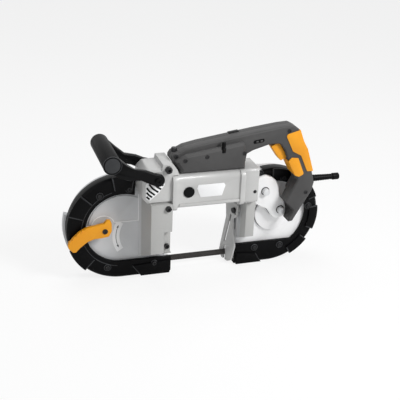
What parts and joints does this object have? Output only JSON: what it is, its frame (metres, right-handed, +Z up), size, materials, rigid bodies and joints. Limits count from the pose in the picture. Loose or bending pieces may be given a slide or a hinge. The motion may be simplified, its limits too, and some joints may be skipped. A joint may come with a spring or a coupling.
{
  "type": "portable band saw",
  "caption": "Hand-held deep-cut band saw with a silver frame and motor, grey rear handle with orange pads, black front grip and rubber bumpers.",
  "frame": {"origin": "middle of the saw on the floor it stands on", "axes": "+X along the cutting stretch of the blade, towards the cord, -Y towards the motor, +Z up"},
  "size_m": [0.542, 0.1381, 0.3063],
  "materials": {
    "silver_paint": "satin",
    "orange_plastic": "satin",
    "grey_plastic": "matte",
    "black_rubber": "matte",
    "black_plastic": "satin",
    "dark_screw": "satin",
    "bright_bolt": "polished",
    "steel": "satin",
    "blade_steel": "satin",
    "wheel_metal": "satin",
    "bronze": "satin"
  },
  "bodies": {
    "saw": {"main_frame": "silver_paint", "motor_housing": "silver_paint", "motor_end_cap": "silver_paint", "gear_case": "silver_paint", "gear_cover": "silver_paint", "gear_cover_bolts": "bright_bolt", "front_bumper": "black_rubber", "rear_bumper": "black_rubber", "bumper_screws": "dark_screw", "handle_shell_near": "grey_plastic", "handle_shell_far": "grey_plastic", "shell_screws": "dark_screw", "grip_back_pad": "orange_plastic", "grip_front_pad": "orange_plastic", "switch_module": "black_plastic", "cord_boot": "black_rubber", "front_handle_grip": "black_rubber", "front_handle_arm_near": "black_plastic", "front_handle_arm_far": "black_plastic", "handle_bolts": "dark_screw", "brush_caps": "black_plastic", "carbon_brushes": "black_plastic", "stator": "steel", "motor_bearings": "steel", "drive_bearing": "steel", "shaft_bushes": "bronze", "blade_guides": "steel", "guide_pins": "steel", "stop_holder": "silver_paint", "stop_screw": "dark_screw", "blade": "blade_steel", "tension_spring": "steel"},
    "rotor": {"armature": "steel", "motor_worm": "steel", "commutator": "bronze", "motor_fan": "black_plastic"},
    "worm_set": {"worm_gear": "bronze", "worm_gear_shaft": "steel"},
    "idle_set": {"idle_shaft": "steel", "idle_gear": "steel"},
    "drive_set": {"drive_shaft": "steel", "drive_gear": "steel", "drive_wheel": "wheel_metal", "drive_tyre": "black_rubber", "drive_nut": "bright_bolt"},
    "idler_set": {"idler_wheel": "wheel_metal", "idler_tyre": "black_rubber", "idler_bearings": "steel"},
    "carriage": {"tension_carriage": "steel", "idler_axle": "steel", "idler_nut": "bright_bolt"},
    "lever": {"tension_lever": "orange_plastic", "tension_cam": "steel"},
    "trigger_body": {"trigger": "orange_plastic"},
    "stop": {"work_stop": "silver_paint"},
    "roller_front_near": {"front_near_roller": "steel"},
    "roller_front_far": {"front_far_roller": "steel"},
    "roller_rear_near": {"rear_near_roller": "steel"},
    "roller_rear_far": {"rear_far_roller": "steel"}
  },
  "joints": [
    {"name": "motor_spin", "type": "hinge", "parent": "saw", "child": "rotor", "pos_m": [-0.005, 0.0005, 0.1965], "axis": [1, 0, 0], "continuous": true},
    {"name": "worm_gear_spin", "type": "hinge", "parent": "saw", "child": "worm_set", "pos_m": [0.079, 0.0005, 0.1765], "axis": [0, 1, 0], "continuous": true},
    {"name": "idle_spin", "type": "hinge", "parent": "saw", "child": "idle_set", "pos_m": [0.122, 0.0255, 0.1635], "axis": [0, 1, 0], "continuous": true},
    {"name": "drive_spin", "type": "hinge", "parent": "saw", "child": "drive_set", "pos_m": [0.147, 0.0495, 0.1065], "axis": [0, 1, 0], "continuous": true},
    {"name": "idler_spin", "type": "hinge", "parent": "carriage", "child": "idler_set", "pos_m": [-0.161, 0.0495, 0.1065], "axis": [0, 1, 0], "continuous": true},
    {"name": "front_near_roller_spin", "type": "hinge", "parent": "saw", "child": "roller_front_near", "pos_m": [-0.074, 0.04383, 0.0195], "axis": [0, 0, 1], "continuous": true},
    {"name": "front_far_roller_spin", "type": "hinge", "parent": "saw", "child": "roller_front_far", "pos_m": [-0.074, 0.05518, 0.0195], "axis": [0, 0, 1], "continuous": true},
    {"name": "rear_near_roller_spin", "type": "hinge", "parent": "saw", "child": "roller_rear_near", "pos_m": [0.085, 0.04383, 0.0195], "axis": [0, 0, 1], "continuous": true},
    {"name": "rear_far_roller_spin", "type": "hinge", "parent": "saw", "child": "roller_rear_far", "pos_m": [0.085, 0.05518, 0.0195], "axis": [0, 0, 1], "continuous": true},
    {"name": "lever_turn", "type": "hinge", "parent": "saw", "child": "lever", "pos_m": [-0.198, 0.0255, 0.1115], "axis": [0, -1, 0], "range_deg": [0, 120]},
    {"name": "carriage_slide", "type": "slide", "parent": "saw", "child": "carriage", "axis": [1, 0, 0], "range_m": [0, 0.006], "deforming": ["tension_spring"]},
    {"name": "trigger_pull", "type": "slide", "parent": "saw", "child": "trigger_body", "axis": [0.8686, 0, 0.4955], "range_m": [0, 0.006], "stiffness_N_per_m": 800, "springref_m": -0.001},
    {"name": "stop_slide", "type": "slide", "parent": "saw", "child": "stop", "axis": [0, 0, 1], "range_m": [0, 0.006]}
  ],
  "couplings": [
    {"joint": "worm_gear_spin", "follows": "motor_spin", "ratio": -0.05},
    {"joint": "idle_spin", "follows": "motor_spin", "ratio": 0.04},
    {"joint": "drive_spin", "follows": "motor_spin", "ratio": -0.0066667},
    {"joint": "idler_spin", "follows": "motor_spin", "ratio": -0.0066667},
    {"joint": "front_near_roller_spin", "follows": "motor_spin", "ratio": -0.11117},
    {"joint": "front_far_roller_spin", "follows": "motor_spin", "ratio": 0.11117},
    {"joint": "rear_near_roller_spin", "follows": "motor_spin", "ratio": -0.11117},
    {"joint": "rear_far_roller_spin", "follows": "motor_spin", "ratio": 0.11117},
    {"joint": "lever_turn", "follows": "carriage_slide", "rad_per_m": 349.07}
  ]
}
